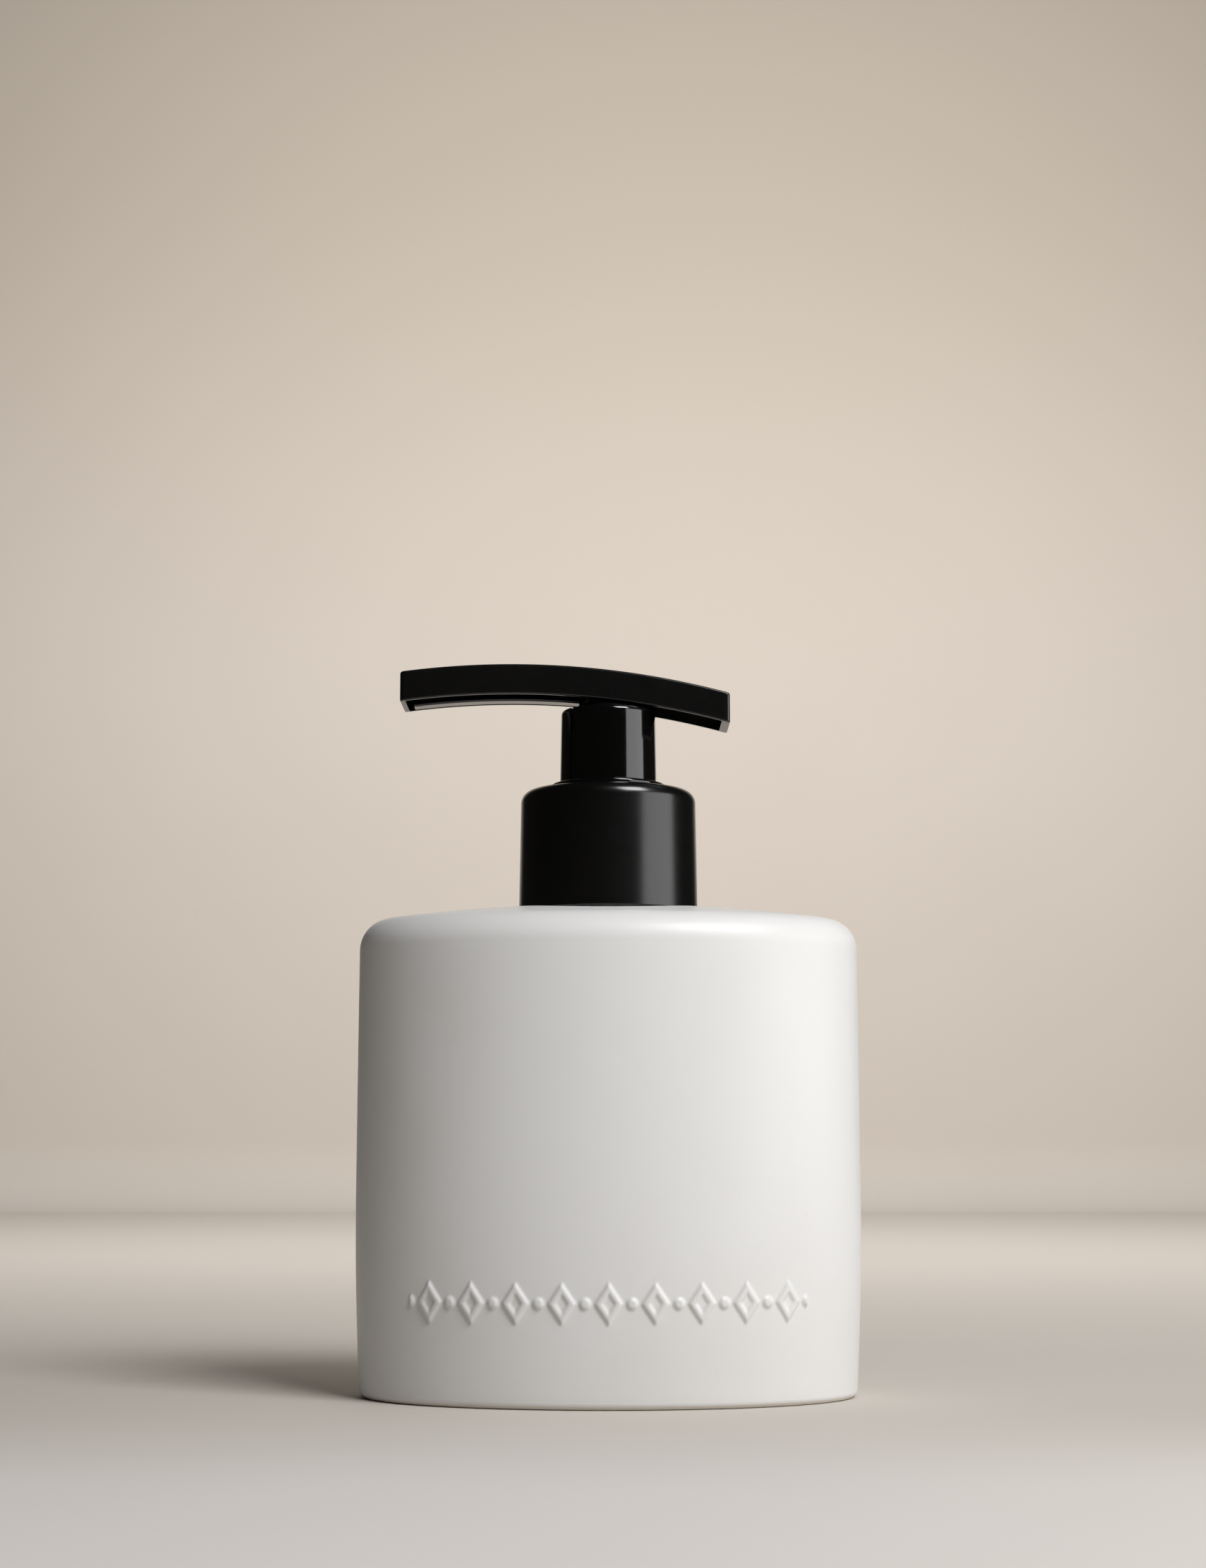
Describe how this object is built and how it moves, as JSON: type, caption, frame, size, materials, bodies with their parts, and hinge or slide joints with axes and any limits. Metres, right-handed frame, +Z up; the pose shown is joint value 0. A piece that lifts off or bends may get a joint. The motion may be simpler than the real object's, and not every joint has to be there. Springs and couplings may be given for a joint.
{
  "type": "soap pump dispenser",
  "caption": "Oval ceramic soap bottle with a black lotion pump: the curved press handle goes down on a spring, turns, and the closure unscrews from a threaded neck.",
  "frame": {"origin": "middle of the bottle's foot, on the plane that it stands on", "axes": "+Z up along the pump's axis, +X along the bottle's width away from the outlet, +Y to the back through the bottle's depth"},
  "size_m": [0.0974, 0.058, 0.1411],
  "materials": {
    "ceramic_glaze": "satin off-white glaze",
    "black_satin": "satin black moulding",
    "black_gloss": "polished black moulding",
    "white_plastic": "natural white moulding",
    "clear_plastic": "translucent natural plastic",
    "gasket_foam": "matt soft foam",
    "stainless_steel": "drawn stainless wire"
  },
  "bodies": {
    "base": {"bottle": "ceramic_glaze", "mouth_gasket": "gasket_foam", "neck_insert": "white_plastic"},
    "pump_core": {"pump_housing": "clear_plastic", "neck_gasket": "gasket_foam", "lock_ring": "black_gloss", "ball_cage": "white_plastic", "dip_tube": "clear_plastic", "spring": "stainless_steel"},
    "closure": {"screw_cap": "white_plastic", "collar_shell": "black_satin"},
    "inlet_valve": {"inlet_ball": "stainless_steel"},
    "stem_rod": {"stem": "white_plastic", "stem_plug": "white_plastic"},
    "piston_seal": {"piston": "white_plastic"},
    "head": {"actuator_sleeve": "black_gloss", "actuator_core": "black_satin", "handle_bar": "black_satin", "spout_channel": "black_gloss"}
  },
  "joints": [
    {"name": "pump_lift", "type": "slide", "parent": "base", "child": "pump_core", "axis": [0, 0, 1], "range_m": [0, 0.00634]},
    {"name": "closure_turn", "type": "hinge", "parent": "pump_core", "child": "closure", "pos_m": [0, 0, 0.1], "axis": [0, 0, 1], "range_deg": [0, 540]},
    {"name": "head_press", "type": "slide", "parent": "pump_core", "child": "stem_rod", "axis": [0, 0, -1], "range_m": [0, 0.011], "stiffness_N_per_m": 700, "springref_m": -0.012, "deforming": ["spring"]},
    {"name": "head_turn", "type": "hinge", "parent": "stem_rod", "child": "head", "pos_m": [0, 0, 0.12], "axis": [0, 0, 1], "continuous": true},
    {"name": "piston_slip", "type": "slide", "parent": "stem_rod", "child": "piston_seal", "axis": [0, 0, 1], "range_m": [0, 0.0012]},
    {"name": "inlet_ball_lift", "type": "slide", "parent": "pump_core", "child": "inlet_valve", "axis": [0, 0, 1], "range_m": [0, 0.0012]}
  ],
  "couplings": [
    {"joint": "closure_turn", "follows": "pump_lift", "rad_per_m": 1485.4}
  ]
}
